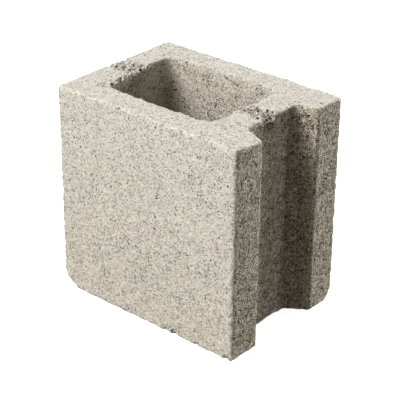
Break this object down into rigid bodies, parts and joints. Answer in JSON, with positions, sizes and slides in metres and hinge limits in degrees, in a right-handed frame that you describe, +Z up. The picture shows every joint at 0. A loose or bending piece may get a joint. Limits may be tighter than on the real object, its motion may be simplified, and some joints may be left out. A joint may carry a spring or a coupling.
{
  "type": "concrete half block",
  "caption": "Hollow concrete half block: a square-faced masonry unit with a rounded core right through it, a plain end, and an open end recessed between two ears.",
  "frame": {"origin": "middle of the bottom bed, under the middle of the block's bounding box", "axes": "+X along the length to the open end, +Y across the face shells, +Z up to the top bed, where the core is widest"},
  "size_m": [0.194, 0.14, 0.194],
  "materials": {
    "concrete": "rough, open-grained dry-cast concrete"
  },
  "bodies": {
    "root": {"block": "concrete"}
  },
  "joints": []
}
